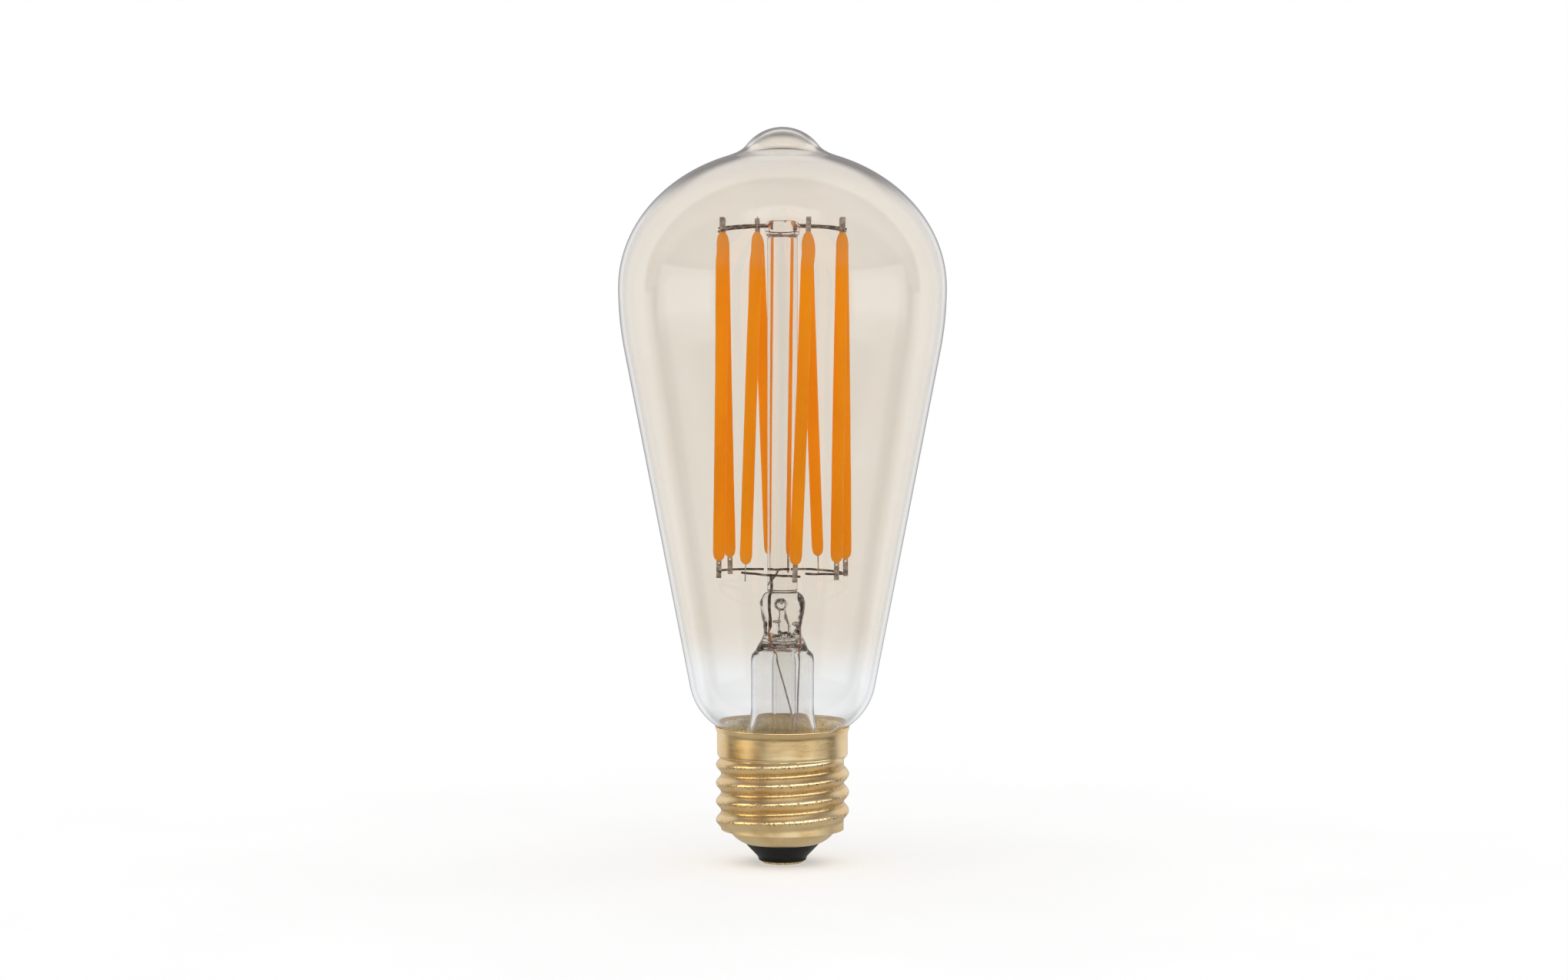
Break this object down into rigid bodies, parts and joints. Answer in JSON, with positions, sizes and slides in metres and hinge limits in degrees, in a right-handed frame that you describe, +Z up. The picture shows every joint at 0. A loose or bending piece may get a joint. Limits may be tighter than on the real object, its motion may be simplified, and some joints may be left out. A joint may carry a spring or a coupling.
{
  "type": "smart filament light bulb",
  "caption": "Tall pear-shaped clear glass filament bulb with a rounded nub on top, a twisted cage of orange LED filaments round a glass rod, and a brass screw cap.",
  "frame": {"origin": "centre of the centre contact's underside, on the bulb's axis", "axes": "+Z up along the bulb's axis from the contact to the glass tip, -Y the front, +X to the front view's right"},
  "size_m": [0.064, 0.064, 0.144],
  "materials": {
    "brass": "bright brass, lightly tarnished",
    "cap_brass": "rolled thin sheet, satin gold",
    "solder": "dull tin solder",
    "black_glass": "black glass, semi gloss",
    "cement": "porous lamp cement",
    "tinned_wire": "tinned copper wire",
    "white_plastic": "thin insulating cup",
    "circuit_board": "green solder mask",
    "black_plastic": "moulded package",
    "capacitor_sleeve": "shrink sleeve",
    "ferrite": "sintered ferrite",
    "copper": "enamelled copper winding",
    "tin_plate": "tin-plated shield",
    "resistor_body": "cemented body",
    "amber_glass": "clear with a faint amber coat",
    "clear_glass": "clear",
    "chip_blue": "polished chip",
    "nickel_wire": "darkened nickel",
    "copper_clad": "reddish copper-clad wire",
    "strip_steel": "plated steel strip",
    "phosphor": "orange phosphor in silicone"
  },
  "bodies": {
    "root": {"centre_contact": "brass", "contact_solder": "solder", "cap_insulator": "black_glass", "cap_shell": "cap_brass", "cap_cement": "cement", "side_wire": "tinned_wire", "centre_wire": "tinned_wire", "insulating_sleeve": "white_plastic", "driver_board": "circuit_board", "bridge_rectifier": "black_plastic", "smoothing_capacitor": "capacitor_sleeve", "inductor_core": "ferrite", "inductor_winding": "copper", "driver_chip": "black_plastic", "radio_board": "circuit_board", "radio_shield": "tin_plate", "fuse_resistor": "resistor_body", "glass_envelope": "amber_glass", "stem_flare": "clear_glass", "exhaust_tube": "clear_glass", "support_rod": "clear_glass", "rod_button": "clear_glass", "led_chips": "chip_blue", "inner_lead_left": "nickel_wire", "inner_lead_right": "nickel_wire", "seal_wire_left": "copper_clad", "seal_wire_right": "copper_clad", "outer_lead_left": "tinned_wire", "outer_lead_right": "tinned_wire", "top_wire_left": "nickel_wire", "support_wire_left": "copper_clad", "top_wire_right": "nickel_wire", "support_wire_right": "copper_clad", "top_wire_back": "nickel_wire", "support_wire_back": "copper_clad", "bottom_wire_front": "nickel_wire", "bottom_wire_left": "nickel_wire", "bottom_wire_right": "nickel_wire", "bottom_wire_back": "nickel_wire", "filament_1_strip": "strip_steel", "filament_1_coat": "phosphor", "filament_2_strip": "strip_steel", "filament_2_coat": "phosphor", "filament_3_strip": "strip_steel", "filament_3_coat": "phosphor", "filament_4_strip": "strip_steel", "filament_4_coat": "phosphor", "filament_5_strip": "strip_steel", "filament_5_coat": "phosphor", "filament_6_strip": "strip_steel", "filament_6_coat": "phosphor", "filament_7_strip": "strip_steel", "filament_7_coat": "phosphor", "filament_8_strip": "strip_steel", "filament_8_coat": "phosphor"}
  },
  "joints": []
}
